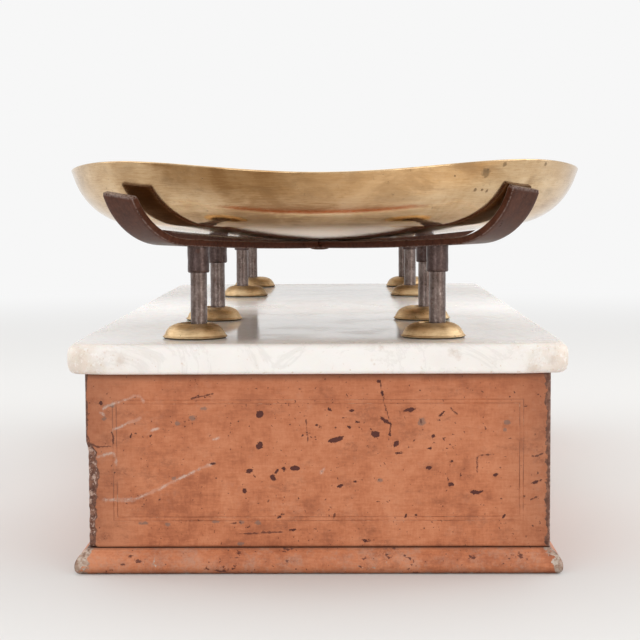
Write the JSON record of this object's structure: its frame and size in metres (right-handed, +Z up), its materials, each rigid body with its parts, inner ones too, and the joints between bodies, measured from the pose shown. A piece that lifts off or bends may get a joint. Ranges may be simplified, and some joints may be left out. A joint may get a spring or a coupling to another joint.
{
  "type": "counter balance",
  "caption": "Counter balance with a painted wooden case, marble top, iron rods and cradles, and dished brass pans on a hidden beam-and-lever movement.",
  "frame": {"origin": "under the middle of the case, on the surface it stands on", "axes": "+Z up, +Y along the case from the near pan to the far pan, +X towards the side with the index window"},
  "size_m": [0.3394, 0.754, 0.2488],
  "materials": {
    "marble": "polished white marble with ochre stains",
    "painted_wood": "worn terracotta paint over wood",
    "bare_wood": "bare aged pine",
    "pan_brass": "aged brushed brass",
    "fitting_brass": "satin brass",
    "dark_iron": "dark brown patina",
    "black_iron": "black paint on casting",
    "steel": "ground steel",
    "glass": "clear old glass"
  },
  "bodies": {
    "root": {"marble_top": "marble", "case_end_near": "painted_wood", "case_end_far": "painted_wood", "case_side_left": "painted_wood", "case_side_right": "painted_wood", "case_floor": "bare_wood", "plinth_near": "painted_wood", "plinth_far": "painted_wood", "plinth_left": "painted_wood", "plinth_right": "painted_wood", "corner_blocks": "bare_wood", "window_bezel": "fitting_brass", "bezel_screws": "fitting_brass", "window_glass": "glass", "escutcheons_near": "fitting_brass", "escutcheons_far": "fitting_brass", "iron_bed": "black_iron", "bed_screws": "steel", "centre_stand": "black_iron", "centre_bearings": "steel", "fulcrum_stand_near": "black_iron", "fulcrum_stand_far": "black_iron", "stand_bolts": "steel"},
    "beam": {"beam_left": "black_iron", "beam_right": "black_iron", "centre_knife": "steel", "end_knife_near": "steel", "end_knife_far": "steel", "link_knife_near": "steel", "link_knife_far": "steel"},
    "lever_near": {"lever_near": "black_iron", "fulcrum_knife_near": "steel", "lever_link_knife_near": "steel", "load_knife_near": "steel", "needle_near": "fitting_brass"},
    "link_near": {"link_near": "steel"},
    "carrier_near": {"carrier_near": "black_iron", "carrier_bearings_near": "steel", "rods_near": "dark_iron", "rod_nuts_near": "steel"},
    "cradle_near": {"cradle_lower_bar_near": "dark_iron", "cradle_upper_bar_near": "dark_iron", "cradle_sockets_near": "dark_iron", "cradle_rivet_near": "dark_iron"},
    "pan_near": {"pan_near": "pan_brass"},
    "lever_far": {"lever_far": "black_iron", "fulcrum_knife_far": "steel", "lever_link_knife_far": "steel", "load_knife_far": "steel", "needle_far": "fitting_brass"},
    "link_far": {"link_far": "steel"},
    "carrier_far": {"carrier_far": "black_iron", "carrier_bearings_far": "steel", "rods_far": "dark_iron", "rod_nuts_far": "steel"},
    "cradle_far": {"cradle_lower_bar_far": "dark_iron", "cradle_upper_bar_far": "dark_iron", "cradle_sockets_far": "dark_iron", "cradle_rivet_far": "dark_iron"},
    "pan_far": {"pan_far": "pan_brass"}
  },
  "joints": [
    {"name": "beam_tilt", "type": "hinge", "parent": "root", "child": "beam", "pos_m": [0, 0, 0.078], "axis": [1, 0, 0], "range_deg": [-2.2, 2.2]},
    {"name": "lever_near_tilt", "type": "hinge", "parent": "root", "child": "lever_near", "pos_m": [0, -0.05, 0.046], "axis": [1, 0, 0], "range_deg": [-4.44, 4.44]},
    {"name": "link_near_swing", "type": "hinge", "parent": "beam", "child": "link_near", "pos_m": [0, -0.09921, 0.078], "axis": [1, 0, 0], "range_deg": [-2.2, 2.2]},
    {"name": "carrier_near_level", "type": "hinge", "parent": "beam", "child": "carrier_near", "pos_m": [0, -0.25, 0.078], "axis": [1, 0, 0], "range_deg": [-2.2, 2.2]},
    {"name": "cradle_near_lift", "type": "slide", "parent": "carrier_near", "child": "cradle_near", "axis": [0, 0, 1], "range_m": [0, 0.03]},
    {"name": "pan_near_lift", "type": "slide", "parent": "cradle_near", "child": "pan_near", "axis": [0, 0, 1], "range_m": [0, 0.08]},
    {"name": "lever_far_tilt", "type": "hinge", "parent": "root", "child": "lever_far", "pos_m": [0, 0.05, 0.046], "axis": [1, 0, 0], "range_deg": [-4.44, 4.44]},
    {"name": "link_far_swing", "type": "hinge", "parent": "beam", "child": "link_far", "pos_m": [0, 0.09921, 0.078], "axis": [1, 0, 0], "range_deg": [-2.2, 2.2]},
    {"name": "carrier_far_level", "type": "hinge", "parent": "beam", "child": "carrier_far", "pos_m": [0, 0.25, 0.078], "axis": [1, 0, 0], "range_deg": [-2.2, 2.2]},
    {"name": "cradle_far_lift", "type": "slide", "parent": "carrier_far", "child": "cradle_far", "axis": [0, 0, 1], "range_m": [0, 0.03]},
    {"name": "pan_far_lift", "type": "slide", "parent": "cradle_far", "child": "pan_far", "axis": [0, 0, 1], "range_m": [0, 0.08]}
  ],
  "couplings": [
    {"joint": "lever_near_tilt", "follows": "beam_tilt", "ratio": 2.0161},
    {"joint": "link_near_swing", "follows": "beam_tilt", "ratio": -1},
    {"joint": "carrier_near_level", "follows": "beam_tilt", "ratio": -1},
    {"joint": "lever_far_tilt", "follows": "beam_tilt", "ratio": 2.0161},
    {"joint": "link_far_swing", "follows": "beam_tilt", "ratio": -1},
    {"joint": "carrier_far_level", "follows": "beam_tilt", "ratio": -1}
  ]
}
